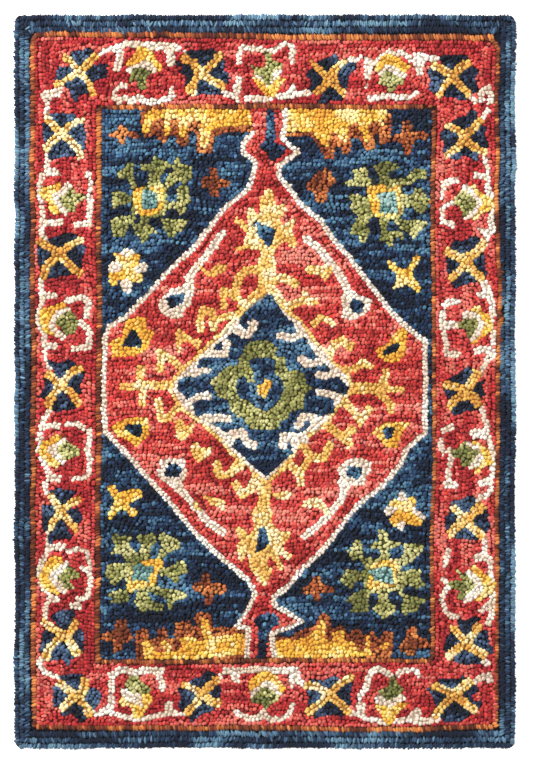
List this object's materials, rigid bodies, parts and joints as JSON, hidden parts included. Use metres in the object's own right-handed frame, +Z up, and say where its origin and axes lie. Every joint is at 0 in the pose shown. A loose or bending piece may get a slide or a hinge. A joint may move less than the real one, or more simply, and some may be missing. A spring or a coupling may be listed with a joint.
{
  "type": "area rug",
  "caption": "Small hooked loop-pile rug with a red medallion, navy corners and a red motif border, on a felt-backed cloth foundation.",
  "frame": {"origin": "middle of the underside, on the floor", "axes": "+X across the rug to the right of the pattern, +Y along its length to the pattern's top, +Z up through the pile"},
  "size_m": [0.61, 0.893, 0.011],
  "materials": {
    "felt": "matt needled felt",
    "latex": "dull set latex",
    "cloth": "plain-woven cotton cloth",
    "yarn_navy": "matt twisted wool-look yarn in loops",
    "yarn_rust": "matt twisted wool-look yarn in loops",
    "yarn_red": "matt twisted wool-look yarn in loops",
    "yarn_ivory": "matt twisted wool-look yarn in loops",
    "yarn_gold": "matt twisted wool-look yarn in loops",
    "yarn_olive": "matt twisted wool-look yarn in loops",
    "yarn_teal": "matt twisted wool-look yarn in loops",
    "yarn_blue": "matt twisted wool-look yarn in loops"
  },
  "bodies": {
    "root": {"felt_backing": "felt", "latex_coat": "latex", "foundation_cloth": "cloth", "edge_rows_top": "yarn_navy", "outer_guard_top": "yarn_rust", "border_ground_top": "yarn_red", "inner_guard_top": "yarn_rust", "edge_rows_bottom": "yarn_navy", "outer_guard_bottom": "yarn_rust", "border_ground_bottom": "yarn_red", "inner_guard_bottom": "yarn_rust", "edge_rows_left": "yarn_navy", "outer_guard_left": "yarn_rust", "border_ground_left": "yarn_red", "inner_guard_left": "yarn_rust", "edge_rows_right": "yarn_navy", "outer_guard_right": "yarn_rust", "border_ground_right": "yarn_red", "inner_guard_right": "yarn_rust", "border_vine": "yarn_ivory", "cross_petals": "yarn_navy", "cross_arms": "yarn_gold", "blossom_gold": "yarn_gold", "blossom_ivory": "yarn_ivory", "blossom_green": "yarn_olive", "field_left": "yarn_navy", "field_right": "yarn_navy", "comb_rust": "yarn_rust", "comb_gold": "yarn_gold", "small_crosses": "yarn_rust", "rosette_petals": "yarn_olive", "rosette_rings": "yarn_gold", "rosette_hearts": "yarn_teal", "star_gold": "yarn_gold", "star_ivory": "yarn_ivory", "medallion_ground": "yarn_red", "medallion_outline": "yarn_ivory", "medallion_hooks": "yarn_ivory", "medallion_eyes": "yarn_navy", "triangle_gold": "yarn_gold", "triangle_hearts": "yarn_navy", "branches": "yarn_gold", "tree_hearts": "yarn_navy", "diamond_edge": "yarn_gold", "diamond_line": "yarn_ivory", "diamond_ground": "yarn_navy", "diamond_hooks": "yarn_ivory", "diamond_wreath": "yarn_olive", "wreath_heart": "yarn_blue", "diamond_flame": "yarn_gold", "neck_arrows": "yarn_navy"}
  },
  "joints": []
}
